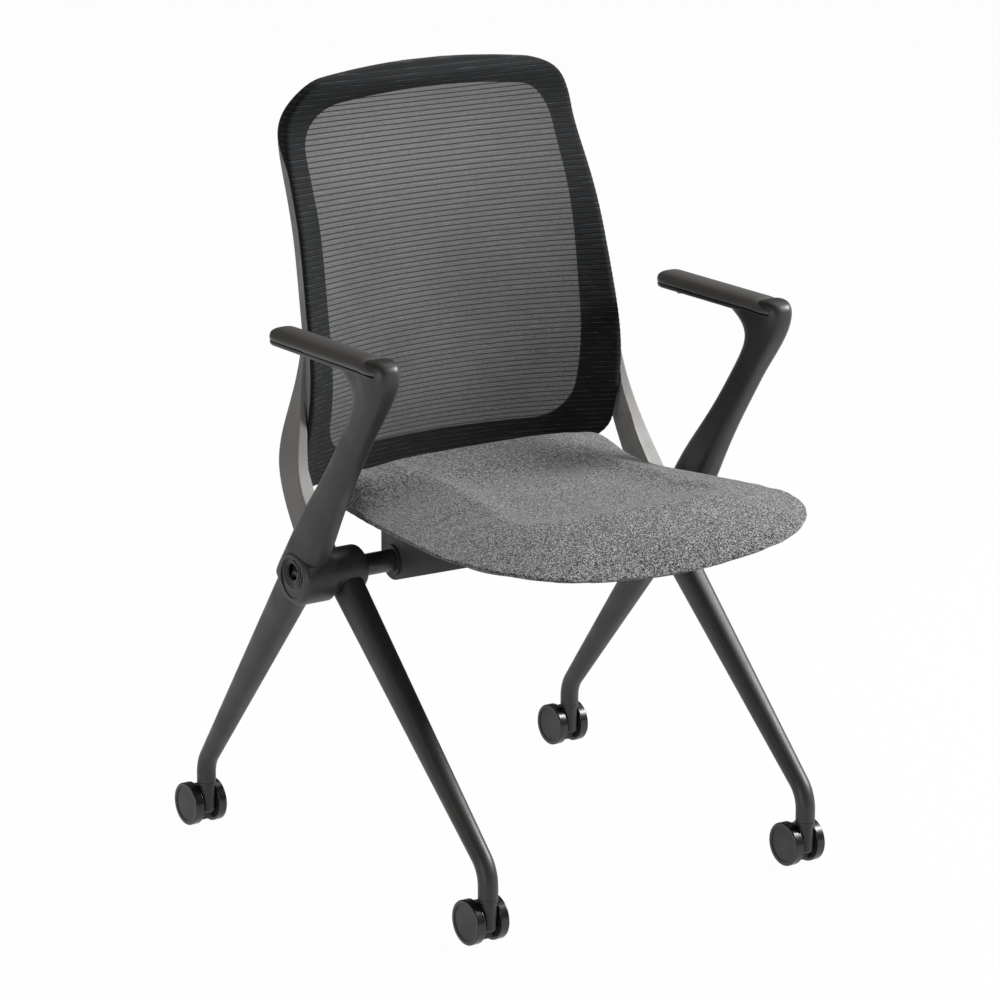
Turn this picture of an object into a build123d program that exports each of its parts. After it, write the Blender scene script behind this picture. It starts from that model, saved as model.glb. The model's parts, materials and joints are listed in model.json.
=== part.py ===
from build123d import *
from math import acos, atan2, copysign, cos, degrees, hypot, pi, radians, sin, sqrt
import os

# A nesting chair on four twin-wheel casters: cast side frames, a moulded back frame with stretched
# mesh, arm pads, and an upholstered seat that flips up about the tube between the side frames.
#
# Millimetres. +Z is up, the floor is z = 0, the chair faces -Y and the sitter's left hand is +X.
# The origin is on the floor, in the middle of the chair's footprint.
# Every paired piece is modelled on the sitter's left (+X) and mirrored for the right.

# ---------------------------------------------------------------- driving dimensions
# Hub: the axis through both side frames, about which the seat turns
hub_y = 37.0
hub_z = 388.0
hub_radius = 34.0
hub_inner_x = 268.0
hub_outer_x = 311.0
hub_edge_round = 7.0
boss_radius = 28.0
boss_end_x = 216.0
boss_edge_round = 7.0
recess_radius = 25.0
recess_depth = 9.0

# Cross tube and the bolts that close the hubs
tube_radius = 13.5
tube_wall = 2.0
tube_end_inset = 2.0
end_plug_length = 30.0
hub_bolt_radius = 5.0
hub_bolt_length = 58.0
hub_bolt_head_radius = 8.5
hub_bolt_head_height = 5.0
hub_bolt_socket_radius = 4.0
bolt_clearance = 0.3
cap_thickness = 3.0
cap_skirt = 2.6
cap_window_radius = 10.5
cap_window_rise = 8.0
cap_ridge_radii = (13.5, 17.0, 20.5)
cap_ridge_height = 0.8
cap_clearance = 0.2

# Legs: each runs from behind the hub axis to its knee, then straight down onto its caster
front_stem_x = 239.0
front_stem_y = -269.0
rear_stem_x = 285.0
rear_stem_y = 288.0
leg_foot_z = 58.5
leg_foot_diameter = 24.2
knee_radius = 45.0
front_leg_top_x = 240.0
front_leg_top_width = 42.0
front_leg_top_thickness = 34.0
front_leg_behind_hub = 6.0
front_knee_z = 92.0
rear_leg_top_x = 290.0
rear_leg_top_width = 48.0
rear_leg_top_thickness = 36.0
rear_leg_behind_hub = 13.0
rear_knee_z = 84.0
tenon_radius = 11.0
tenon_length = 22.0
soft_square = 3.0

# Casters
wheel_diameter = 55.0
wheel_width = 12.0
caster_width = 45.6
caster_trail = 15.0
tread_thickness = 3.5
tread_edge_round = 1.5
wheel_face_recess = 0.8
wheel_face_rim = 2.0
axle_radius = 3.0
axle_end_cover = 3.0
wheel_side_gap = 0.7
hood_radius = 24.0
collar_height = 3.0
collar_gap = 0.5
post_bottom_z = 18.0
post_bottom_round = 4.0
stem_radius = 5.5
stem_above_foot = 22.0
stem_below_foot = 30.0
stem_end_gap = 0.3
socket_radius = 7.5
socket_depth = 24.0
running_clearance = 0.05

# Arm casting and pad
arm_x = 290.0
pad_width = 44.0
pad_rear_y = 96.0
pad_front_y = -148.0
pad_seam_z = 670.0
pad_thickness = 16.5
pad_rear_rise = 3.0
pad_nose_drop = 2.0
pad_nose_fall = 12.0
pad_bend_radius = 30.0
pad_nose_reach = 38.0
pad_edge_round = 7.0
beam_margin = 1.0
beam_depth = 5.0
beam_round = 3.5
pad_screw_radius = 2.5
pad_screw_head_radius = 4.5
pad_screw_places = (-50.0, 60.0)
# Each section of the arm: rear or under edge (y, z), front or top edge (y, z), thickness
arm_sections = (
    ((84.0, 392.0), (34.0, 360.0), 43.0),
    ((66.0, 420.0), (14.0, 396.0), 41.0),
    ((41.0, 458.0), (-7.0, 430.0), 36.0),
    ((8.0, 499.0), (-31.0, 473.0), 32.0),
    ((-22.0, 536.0), (-55.0, 513.0), 30.0),
    ((-56.0, 583.0), (-87.0, 562.0), 30.0),
    ((-76.0, 613.0), (-108.0, 593.0), 32.0),
    ((-84.0, 634.0), (-130.0, 623.0), 36.0),
    ((-72.0, 653.0), (-150.0, 663.0), 41.0),
    ((-52.0, 665.0), (-118.0, 684.0), 40.0),
)

# Back: outline seen from the front, then the mesh face as (height, side edge y, hollow depth)
back_bottom_z = 458.0
back_bottom_half_width = 237.0
back_middle_half_width = 226.5
back_middle_z = 720.0
back_top_half_width = 208.5
back_top_z = 965.0
back_arch = 18.0
back_top_round = 72.0
back_bottom_round = 34.0
opening_bottom_z = 496.0
opening_top_z = 935.0
opening_low_half_width = 186.0
opening_half_width = 190.0
opening_high_half_width = 185.0
opening_top_round = 60.0
opening_bottom_round = 46.0
back_profile = (
    (445.0, 161.0, 57.0),
    (498.0, 129.0, 60.0),
    (540.0, 116.0, 62.0),
    (583.0, 109.0, 62.0),
    (640.0, 113.0, 58.0),
    (714.0, 129.0, 44.0),
    (807.0, 158.0, 22.0),
    (899.0, 193.0, 8.0),
    (985.0, 243.0, 3.0),
)
mesh_thickness = 1.2
carrier_thickness = 5.0
shell_depth = 13.0
shell_band = 17.0
shell_overhang = 0.5
carrier_screw_heights = (540.0, 714.0, 899.0)
carrier_screw_inset = 7.0
carrier_screw_radius = 1.8
carrier_screw_head_radius = 3.5
carrier_screw_bite = 3.0

# J-bars: front and rear edges seen from the side as (y, z), from the shell down to the boss
bar_front_edge = (
    (136.0, 690.0),
    (128.0, 650.0),
    (124.5, 605.0),
    (117.5, 560.0),
    (109.0, 520.0),
    (91.5, 480.0),
    (77.0, 460.0),
    (34.0, 402.0),
)
bar_rear_edge = (
    (142.5, 690.0),
    (135.0, 640.0),
    (138.0, 600.0),
    (148.0, 560.0),
    (151.0, 525.0),
    (146.0, 500.0),
    (137.0, 480.0),
    (114.0, 440.0),
    (66.0, 366.0),
)
# Its outer and inner edges seen from the front as (x, z)
bar_outer_edge = (
    (228.0, 691.0),
    (232.5, 650.0),
    (241.0, 600.0),
    (247.0, 560.0),
    (256.0, 520.0),
    (263.5, 480.0),
    (266.0, 440.0),
    (266.0, 360.0),
)
bar_inner_edge = (
    (227.0, 691.0),
    (227.0, 600.0),
    (238.0, 540.0),
    (245.0, 500.0),
    (245.0, 360.0),
)
bar_edge_round = 2.4
bar_carrier_gap = 12.0
bar_side_gap = 1.0
saddle_gap = 0.1
saddle_bolt_angles = (-15.0, 12.0)
saddle_bolt_radius = 3.0
saddle_bolt_head_radius = 5.0
saddle_bolt_head_height = 4.0
saddle_bolt_bite = 9.0

# Seat cushion and the board inside it
seat_front_y = -331.0
seat_rear_y = 139.0
seat_front_half_width = 275.0
seat_side_bulge_x = 240.0
seat_side_bulge_y = -60.0
seat_rear_half_width = 200.0
seat_front_bow = 30.0
seat_rear_bow = 6.0
seat_front_round = 130.0
seat_rear_round = 48.0
seat_crown_z = 484.0
crown_radius = 4000.0
crown_setback = 60.0
seat_belly_z = 427.0
belly_radius = 1150.0
seat_top_round = 12.0
seat_belly_round = 6.0
board_z = 436.0
board_thickness = 8.0
board_gap = 0.3

# Seat pan with the housing that covers the pivots
pan_floor_z = 424.0
pan_inset = 56.0
pan_flank_run = 20.0
pan_wall = 3.0
housing_half_width = 166.0
housing_radius = 25.0
housing_front_y = -160.0
bracket_x = 126.0
bracket_thickness = 8.0
bracket_radius = 21.0
bracket_reach = 110.0
bracket_foot_width = 30.0
bracket_foot_thickness = 4.0
bush_wall = 3.0
bush_flange = 3.0
bush_flange_radius = 19.0
seat_flip = 75.0
lug_angle = 20.0
lug_height = 5.0
lug_slack = 0.5
cheek_thickness = 8.0
cheek_gap = 0.3
seat_screw_radius = 3.0
seat_screw_head_radius = 5.0
seat_screw_head_height = 3.0
seat_screw_places = ((-10.0, -55.0), (10.0, 40.0))
pan_screw_radius = 2.0
pan_screw_head_radius = 4.0
pan_screw_places = ((150.0, -190.0), (60.0, -225.0))

# ---------------------------------------------------------------- derived places
foot_radius = leg_foot_diameter / 2
wheel_radius = wheel_diameter / 2
wheel_inner_x = caster_width / 2 - wheel_width
tube_end_x = hub_inner_x - tube_end_inset
recess_floor_x = hub_outer_x - recess_depth
bar_middle_x = (bar_inner_edge[-1][0] + bar_outer_edge[-1][0]) / 2
bush_outer_radius = tube_radius + running_clearance + bush_wall
stems = {
    "front": (front_stem_x, front_stem_y),
    "rear": (rear_stem_x, rear_stem_y),
}
outline_steps = 16
far = 1000.0


# ---------------------------------------------------------------- helpers
def squircle(width, height, power):
    """A closed smooth outline: an ellipse at power 2, a softened rectangle above it."""
    points = []
    for step in range(outline_steps):
        turn = 2 * pi * step / outline_steps
        across = copysign(abs(cos(turn)) ** (2 / power), cos(turn)) * width / 2
        along = copysign(abs(sin(turn)) ** (2 / power), sin(turn)) * height / 2
        points.append((across, along))
    return make_face(Spline(*points, periodic=True))


def edge_section(first, second, x, thickness, power):
    """A section spanning two edge points (y, z), with its thickness along X."""
    rise_y = first[0] - second[0]
    rise_z = first[1] - second[1]
    middle = (x, (first[0] + second[0]) / 2, (first[1] + second[1]) / 2)
    plane = Plane(origin=middle, x_dir=(1, 0, 0), z_dir=(0, -rise_z, rise_y))
    return plane * squircle(thickness, hypot(rise_y, rise_z), power)


def rod(radius, x_from, x_to, y, z):
    """A cylinder along X."""
    length = x_to - x_from
    return Pos((x_from + x_to) / 2, y, z) * Rot(0, 90, 0) * Cylinder(radius, length)


def post(radius, z_from, z_to, x, y):
    """A cylinder along Z."""
    return Pos(x, y, (z_from + z_to) / 2) * Cylinder(radius, z_to - z_from)


def both_sides(left):
    """The left piece and its mirror image, as one group."""
    return Compound(children=[*left.solids(), *mirror(left, about=Plane.YZ).solids()])


def biggest(shape):
    """The largest solid of a shape."""
    return shape.solids().sort_by(SortBy.VOLUME)[-1]


def save(name, shape):
    export_step(shape, f"parts/{name}.step")


def save_pair(name, left):
    """Writes a piece for the sitter's left and its mirror image for the right."""
    save(f"{name}_left", left)
    save(f"{name}_right", mirror(left, about=Plane.YZ))


# ---------------------------------------------------------------- side frames
def leg(top, knee, foot, top_width, top_thickness):
    """A leg that tapers to its knee and turns down there, round, to its foot."""
    straight, bend, shin = FilletPolyline(top, knee, foot, radius=knee_radius).edges()
    upper = Plane(origin=straight @ 0, x_dir=(1, 0, 0), z_dir=straight % 0)
    lower = Plane(origin=bend @ 0, x_dir=(1, 0, 0), z_dir=bend % 0)
    ankle = lower * squircle(leg_foot_diameter, leg_foot_diameter, 2)
    taper = loft([upper * squircle(top_thickness, top_width, soft_square), ankle])
    return taper + sweep(ankle, path=Wire([bend, shin]))


def socket_bore(x, y):
    return post(socket_radius, leg_foot_z, leg_foot_z + socket_depth, x, y)


def front_leg():
    top = (front_leg_top_x, hub_y + front_leg_behind_hub, hub_z)
    knee = (front_stem_x, front_stem_y, front_knee_z)
    foot = (front_stem_x, front_stem_y, leg_foot_z)
    boss = rod(boss_radius, boss_end_x, hub_inner_x, hub_y, hub_z)
    boss = fillet(boss.edges().sort_by(Axis.X)[0], boss_edge_round)
    body = boss + leg(top, knee, foot, front_leg_top_width, front_leg_top_thickness)
    body -= rod(tube_radius, boss_end_x, hub_inner_x, hub_y, hub_z)
    body -= saddle_bolts(0)
    return biggest(body - socket_bore(front_stem_x, front_stem_y))


def rear_leg_blank():
    top = (rear_leg_top_x, hub_y + rear_leg_behind_hub, hub_z)
    knee = (rear_stem_x, rear_stem_y, rear_knee_z)
    foot = (rear_stem_x, rear_stem_y, leg_foot_z)
    return leg(top, knee, foot, rear_leg_top_width, rear_leg_top_thickness)


def rear_leg_tenon():
    """The round tenon on the rear leg's top, which enters the hub along the leg's line."""
    top = Vector(rear_leg_top_x, hub_y + rear_leg_behind_hub, hub_z)
    knee = Vector(rear_stem_x, rear_stem_y, rear_knee_z)
    down = (knee - top).normalized()
    plane = Plane(origin=top + down * hub_radius, x_dir=(1, 0, 0), z_dir=down)
    return plane * Pos(0, 0, -tenon_length / 2) * Cylinder(tenon_radius, 2 * tenon_length)


def rear_leg():
    cut = rear_leg_blank() - arm_blank() - rod(recess_radius, hub_inner_x, far, hub_y, hub_z)
    body = biggest(cut) + rear_leg_tenon()
    body -= hub_holes()
    return biggest(body - socket_bore(rear_stem_x, rear_stem_y))


def pad_place():
    """Where the pad sits: the middle of its seam, tipped so that its rear is the higher end."""
    tilt = degrees(atan2(pad_rear_rise, pad_rear_y - pad_front_y))
    return Pos(arm_x, (pad_rear_y + pad_front_y) / 2, pad_seam_z) * Rot(tilt, 0, 0)


def pad_blank():
    """The arm pad: a long bar with round ends, a soft top and a nose that slopes down."""
    half = (pad_rear_y - pad_front_y) / 2
    side = make_face(
        Polyline(
            (half, 0),
            (half, pad_thickness),
            (pad_nose_reach - half, pad_thickness),
            (-half, pad_thickness - pad_nose_fall),
            (-half, -pad_nose_drop),
            (pad_nose_reach - half, 0),
            close=True,
        )
    )
    side = fillet(side.vertices().sort_by(Axis.Y)[-2:].sort_by(Axis.X)[0], pad_bend_radius)
    plan = Rot(0, 0, 90) * SlotOverall(2 * half, pad_width)
    bar = extrude(Plane.YZ * side, amount=pad_width, both=True)
    bar &= extrude(plan, amount=far, both=True)
    tops = [face for face in bar.faces() if face.normal_at().Z > 0.5]
    edges = ShapeList([edge for face in tops for edge in face.edges()])
    bar = fillet(edges.filter_by(Axis.X, reverse=True), pad_edge_round)
    return pad_place() * bar


def arm_pad():
    return pad_blank() - pad_screws(0)


def pad_screws(clearance):
    """The screws that come up through the arm's beam into the pad."""
    screws = []
    for y in pad_screw_places:
        shank = post(pad_screw_radius + clearance, pad_seam_z - 10, pad_seam_z + 6, arm_x, y)
        head = post(pad_screw_head_radius, pad_seam_z - 10, pad_seam_z - 6, arm_x, y)
        screws.append(shank + head)
    return screws[0] + screws[1]


def arm_beam():
    """The beam under the arm pad, narrower than the pad, with a rounded underside."""
    width = pad_width - 2 * beam_margin
    plan = Rot(0, 0, 90) * SlotOverall(pad_rear_y - pad_front_y - 2 * beam_margin, width)
    beam = Pos(0, 0, -beam_depth) * extrude(plan, amount=beam_depth + 1)
    beam = fillet(beam.faces().sort_by(Axis.Z)[0].edges(), beam_round)
    return pad_place() * beam


def arm_blank():
    """The arm casting before it is bored: the hub, the post and the beam under the pad."""
    sections = []
    for under, top, thickness in arm_sections:
        sections.append(edge_section(under, top, arm_x, thickness, soft_square))
    hub = rod(hub_radius, hub_inner_x, hub_outer_x, hub_y, hub_z)
    hub = fillet(hub.edges().sort_by(Axis.X)[-1], hub_edge_round)
    return (loft(sections) + arm_beam() + hub) - pad_blank()


def hub_holes():
    """The round recess in the hub's outer face and the bolt hole behind it."""
    recess = rod(recess_radius, recess_floor_x, far, hub_y, hub_z)
    return recess + rod(hub_bolt_radius + bolt_clearance, hub_inner_x - 10, far, hub_y, hub_z)


def arm_frame():
    body = arm_blank() - hub_holes() - rear_leg_tenon()
    return biggest(body - pad_screws(0))


def cross_tube():
    outer = rod(tube_radius, -tube_end_x, tube_end_x, hub_y, hub_z)
    return outer - rod(tube_radius - tube_wall, -tube_end_x, tube_end_x, hub_y, hub_z)


def end_plug():
    inner = tube_end_x - end_plug_length
    plug = rod(tube_radius - tube_wall, inner, tube_end_x, hub_y, hub_z)
    return plug - rod(hub_bolt_radius, inner, tube_end_x, hub_y, hub_z)


def hub_bolt():
    head_end = recess_floor_x + hub_bolt_head_height
    shank = rod(hub_bolt_radius, recess_floor_x - hub_bolt_length, recess_floor_x, hub_y, hub_z)
    head = rod(hub_bolt_head_radius, recess_floor_x, head_end, hub_y, hub_z)
    hexagon = RegularPolygon(hub_bolt_socket_radius, 6)
    key = Pos(head_end - 3, hub_y, hub_z) * Rot(0, 90, 0) * extrude(hexagon, amount=10)
    return shank + head - key


def hub_cap():
    """The ridged cap in the hub's recess, with a window over the bolt head."""
    outer_x = hub_outer_x - 1
    face_x = outer_x - cap_thickness
    radius = recess_radius - cap_clearance
    window_z = hub_z + cap_window_rise
    disc = rod(radius, recess_floor_x, outer_x, hub_y, hub_z)
    disc -= rod(radius - cap_skirt, recess_floor_x, face_x, hub_y, hub_z)
    for ridge in cap_ridge_radii:
        outer = rod(ridge + 0.7, outer_x, outer_x + cap_ridge_height, hub_y, window_z)
        inner = rod(ridge - 0.7, outer_x, outer_x + cap_ridge_height, hub_y, window_z)
        limit = rod(radius - 0.6, outer_x, outer_x + cap_ridge_height, hub_y, hub_z)
        disc += (outer - inner) & limit
    return disc - rod(cap_window_radius, face_x - 1, far, hub_y, window_z)


# ---------------------------------------------------------------- back
def arc_y(x, edge_y, hollow, half_width):
    """Depth of the hollow back at x: a circular arc through both side edges and the middle."""
    radius = (half_width**2 + hollow**2) / (2 * hollow)
    return edge_y + hollow - radius + sqrt(radius**2 - x**2)


def back_half_width(z):
    """Half the back's width at a height, from the three widths of its outline."""
    if z < back_middle_z:
        share = (z - back_bottom_z) / (back_middle_z - back_bottom_z)
        return back_bottom_half_width + (back_middle_half_width - back_bottom_half_width) * share
    share = (z - back_middle_z) / (back_top_z - back_arch - back_middle_z)
    return back_middle_half_width + (back_top_half_width - back_middle_half_width) * share


def back_layer(front_offset, depth):
    """A curved slab that follows the back's face, front_offset behind it and this deep."""
    reach = back_bottom_half_width + 20
    sections = []
    for z, edge_y, hollow in back_profile:
        half_width = back_half_width(z)
        front = edge_y + front_offset
        side_y = arc_y(reach, front, hollow, half_width)
        near = ThreePointArc((-reach, side_y), (0, front + hollow), (reach, side_y))
        right = Line((reach, side_y), (reach, side_y + depth))
        behind = ThreePointArc(
            (reach, side_y + depth), (0, front + hollow + depth), (-reach, side_y + depth)
        )
        left = Line((-reach, side_y + depth), (-reach, side_y))
        sections.append(Pos(0, 0, z) * make_face([near, right, behind, left]))
    return loft(sections)


def front_outline(low, high, low_x, middle_x, high_x, low_round, high_round):
    """A rounded frame outline with an arched top, seen from the front."""
    shoulder = high - back_arch
    middle = (low + high) / 2
    outline = make_face(
        [
            Line((-low_x, low), (low_x, low)),
            ThreePointArc((low_x, low), (middle_x, middle), (high_x, shoulder)),
            ThreePointArc((high_x, shoulder), (0, high), (-high_x, shoulder)),
            ThreePointArc((-high_x, shoulder), (-middle_x, middle), (-low_x, low)),
        ]
    )
    outline = fillet(outline.vertices().sort_by(Axis.Y)[:2], low_round)
    return fillet(outline.vertices().sort_by(Axis.Y)[-2:], high_round)


def back_prism(margin):
    """The back's front outline, drawn in by the margin and run through in depth."""
    outline = front_outline(
        back_bottom_z + margin,
        back_top_z - margin,
        back_bottom_half_width - margin,
        back_middle_half_width - margin,
        back_top_half_width - margin,
        back_bottom_round - margin / 2,
        back_top_round - margin / 2,
    )
    return extrude(Plane.XZ * outline, amount=far, both=True)


def back_mesh():
    return back_layer(0, mesh_thickness) & back_prism(0)


def carrier_opening():
    """The see-through middle of the carrier, which the mesh spans."""
    outline = front_outline(
        opening_bottom_z,
        opening_top_z,
        opening_low_half_width,
        opening_half_width,
        opening_high_half_width,
        opening_bottom_round,
        opening_top_round,
    )
    return extrude(Plane.XZ * outline, amount=far, both=True)


def mesh_carrier():
    slab = back_layer(mesh_thickness, carrier_thickness)
    ring = (slab & back_prism(0)) - carrier_opening()
    return ring - carrier_screws()


def back_frame():
    """The perimeter shell with the two J-bars that reach down to the bosses."""
    slab = back_layer(mesh_thickness + carrier_thickness, shell_depth)
    ring = (slab & back_prism(-shell_overhang)) - back_prism(shell_band)
    bar = j_bar()
    return (ring + bar + mirror(bar, about=Plane.YZ)) - carrier_screws()


def bar_profile():
    """A J-bar seen from the side."""
    return make_face(
        [
            Spline(*bar_front_edge),
            Line(bar_front_edge[-1], bar_rear_edge[-1]),
            Spline(*reversed(bar_rear_edge)),
            Line(bar_rear_edge[0], bar_front_edge[0]),
        ]
    )


def j_bar():
    """A J-bar: it grows out of the shell's side and hooks forward onto the boss."""
    front_view = make_face(
        [
            Spline(*bar_outer_edge),
            Line(bar_outer_edge[-1], bar_inner_edge[-1]),
            Polyline(*reversed(bar_inner_edge)),
            Line(bar_inner_edge[0], bar_outer_edge[0]),
        ]
    )
    bar = extrude(Plane.YZ * bar_profile(), amount=far)
    bar &= extrude(Plane.XZ * front_view, amount=far, both=True)
    outer_edges = bar.edges().sort_by(Edge.length)[-2:]
    bar = fillet(outer_edges, bar_edge_round)
    room_x = bar_inner_edge[0][0] - 1
    step_x = back_bottom_half_width + bar_side_gap
    room = Plane.YZ.offset(room_x) * carrier_side_room()
    bar -= extrude(room, amount=step_x - room_x, dir=(1, 0, 0))
    bar -= rod(boss_radius + saddle_gap, 0, hub_inner_x, hub_y, hub_z)
    return biggest(bar - saddle_bolts(far))


def carrier_side_room():
    """What the mesh carrier's edge takes out of a J-bar's inner side, seen from the side."""
    edge = [(y + bar_carrier_gap, z) for z, y, hollow in back_profile]
    edge = [point for point in edge if point[1] < bar_front_edge[0][1] + 1]
    low = (edge[0][0] - far / 5, edge[0][1])
    high = (edge[0][0] - far / 5, edge[-1][1])
    return make_face([Spline(*edge), Line(edge[-1], high), Line(high, low), Line(low, edge[0])])


def saddle_bolts(head_room):
    """The bolts that hold a J-bar's foot on its boss, or with head room, the holes for them."""
    seat = boss_radius + saddle_bolt_bite
    head_length = max(head_room, saddle_bolt_head_height)
    bolts = []
    for angle in saddle_bolt_angles:
        along = Vector(0, cos(radians(angle)), sin(radians(angle)))
        plane = Plane(origin=(bar_middle_x, hub_y, hub_z), z_dir=along)
        shank_length = seat - boss_radius + saddle_bolt_bite
        shank_middle = boss_radius - saddle_bolt_bite + shank_length / 2
        shank = plane * Pos(0, 0, shank_middle) * Cylinder(saddle_bolt_radius, shank_length)
        head = plane * Pos(0, 0, seat + head_length / 2)
        head = head * Cylinder(saddle_bolt_head_radius, head_length)
        bolts.append(shank + head)
    return bolts[0] + bolts[1]


def carrier_screws():
    """Screws from behind the shell into the mesh carrier, at both sides."""
    screws = []
    for z, edge_y, hollow in back_profile:
        if z not in carrier_screw_heights:
            continue
        half_width = back_half_width(z)
        x = half_width - carrier_screw_inset
        face_y = arc_y(x, edge_y, hollow, half_width) + mesh_thickness
        tip = face_y + carrier_thickness - carrier_screw_bite
        seat = face_y + carrier_thickness + shell_depth - carrier_screw_bite
        shank = Pos(x, (tip + seat) / 2, z) * Rot(90, 0, 0)
        shank = shank * Cylinder(carrier_screw_radius, seat - tip)
        head = Pos(x, seat + 1, z) * Rot(90, 0, 0) * Cylinder(carrier_screw_head_radius, 2)
        screws.append(shank + head)
    left = Compound(children=screws)
    return both_sides(left)


# ---------------------------------------------------------------- seat
def seat_outline(inset):
    """The seat seen from above, drawn in by the inset."""
    rear_y = seat_rear_y - inset
    front_y = seat_front_y + inset
    rear_x = seat_rear_half_width - inset
    front_x = seat_front_half_width - inset
    bulge_x = seat_side_bulge_x - inset
    rear_corner_y = rear_y - seat_rear_bow
    front_corner_y = front_y + seat_front_bow
    outline = make_face(
        [
            ThreePointArc((-rear_x, rear_corner_y), (0, rear_y), (rear_x, rear_corner_y)),
            ThreePointArc(
                (rear_x, rear_corner_y), (bulge_x, seat_side_bulge_y), (front_x, front_corner_y)
            ),
            ThreePointArc((front_x, front_corner_y), (0, front_y), (-front_x, front_corner_y)),
            ThreePointArc(
                (-front_x, front_corner_y), (-bulge_x, seat_side_bulge_y), (-rear_x, rear_corner_y)
            ),
        ]
    )
    corners = outline.vertices().sort_by(Axis.Y)
    outline = fillet(corners[:2], seat_front_round - inset / 2)
    corners = outline.vertices().sort_by(Axis.Y)
    return fillet(corners[-2:], seat_rear_round - inset / 3)


def pan_layer(z, inset):
    return Pos(0, 0, z) * seat_outline(inset)


def pan_tray(inset):
    """The seat pan's tray, filled: its flanks slope in from the rim to the floor."""
    floor = pan_layer(pan_floor_z + inset, pan_inset + pan_flank_run + inset)
    return loft([floor, pan_layer(board_z + board_thickness, pan_inset + inset)])


def board_blank():
    """The board before it is drilled: its edge slopes in as the tray's flanks do."""
    slab = extrude(pan_layer(board_z, pan_inset), amount=board_thickness)
    return slab & pan_tray(pan_wall + board_gap)


def seat_board():
    return board_blank() - seat_screws() - pan_screws()


def seat_cushion():
    """The upholstered foam: crowned on top, its underside rising to the sides."""
    middle_y = (seat_front_y + seat_rear_y) / 2 + crown_setback
    crown = Pos(0, middle_y, seat_crown_z - crown_radius) * Rot(90, 0, 0) * Sphere(crown_radius)
    belly = Pos(0, 0, seat_belly_z + belly_radius) * Rot(90, 0, 0) * Cylinder(belly_radius, far)
    slab = extrude(pan_layer(seat_belly_z - 1, 0), amount=far / 4)
    body = slab & crown & belly
    body = fillet(body.faces().sort_by(Axis.Z)[-1].edges(), seat_top_round)
    body = fillet(body.faces().sort_by(Axis.Z)[0].edges(), seat_belly_round)
    return body - pan_tray(0)


def housing_profile(inset, nose_y, top_z):
    """The pivot housing from the side: round about the tube, then straight up to its nose."""
    radius = housing_radius - inset
    reach = hypot(nose_y - hub_y, top_z - hub_z)
    low_turn = atan2(top_z - hub_z, nose_y - hub_y) + acos(radius / reach)
    low = (hub_y + radius * cos(low_turn), hub_z + radius * sin(low_turn))
    mid_turn = (low_turn + 2 * pi) / 2
    rear = (hub_y + radius, hub_z)
    lowest = (hub_y + radius * cos(mid_turn), hub_z + radius * sin(mid_turn))
    return make_face(
        [
            Line((nose_y, top_z), low),
            ThreePointArc(low, lowest, rear),
            Line(rear, (hub_y + radius, top_z)),
            Line((hub_y + radius, top_z), (nose_y, top_z)),
        ]
    )


def seat_pan():
    """The tray round the board, with the housing that covers the tube and the pivots."""
    floor_top = pan_floor_z + pan_wall
    outer = housing_profile(0, housing_front_y, floor_top)
    inner = housing_profile(pan_wall, housing_front_y + 4 * pan_wall, board_z)
    housing = extrude(Plane.YZ * outer, amount=housing_half_width, both=True)
    room = extrude(Plane.YZ * inner, amount=housing_half_width - pan_wall, both=True)
    body = (pan_tray(0) - pan_tray(pan_wall)) + housing - room
    for x, y in both_places(pan_screw_places):
        body += post(pan_screw_head_radius + pan_wall, floor_top, board_z, x, y)
    body -= rod(bush_outer_radius, -far, far, hub_y, hub_z)
    return biggest(body - pan_screws())


def both_places(places):
    """The given (x, y) places and their mirror images."""
    return [*places, *[(-x, y) for x, y in places]]


def pan_screws():
    """The screws from below the tray into the board."""
    screws = []
    for x, y in both_places(pan_screw_places):
        shank = post(pan_screw_radius, pan_floor_z + 1, board_z + board_thickness - 2, x, y)
        head = post(pan_screw_head_radius, pan_floor_z + 0.2, pan_floor_z + 2.5, x, y)
        screws.append(shank + head)
    return Compound(children=screws)


def seat_screws():
    """The screws from below through the brackets' feet into the board."""
    foot_z = board_z - bracket_foot_thickness
    screws = []
    for across, y in seat_screw_places:
        x = bracket_x + across
        shank = post(seat_screw_radius, foot_z, board_z + board_thickness - 2, x, y)
        head = post(seat_screw_head_radius, foot_z - seat_screw_head_height, foot_z, x, y)
        screws.append(shank + head)
    return both_sides(Compound(children=screws))


def ring_sector(inner, outer, x_from, x_to, start, stop):
    """A piece of a ring about the tube's axis, from one angle to another, seen from +X."""
    sector = make_face(
        [
            CenterArc((0, 0), outer, start, stop - start),
            Line(polar(outer, stop), polar(inner, stop)),
            CenterArc((0, 0), inner, start, stop - start),
            Line(polar(inner, start), polar(outer, start)),
        ]
    )
    placed = Plane.YZ.offset(x_from) * Pos(hub_y, hub_z) * sector
    return extrude(placed, amount=x_to - x_from, dir=(1, 0, 0))


def polar(radius, angle):
    return (radius * cos(radians(angle)), radius * sin(radians(angle)))


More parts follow.
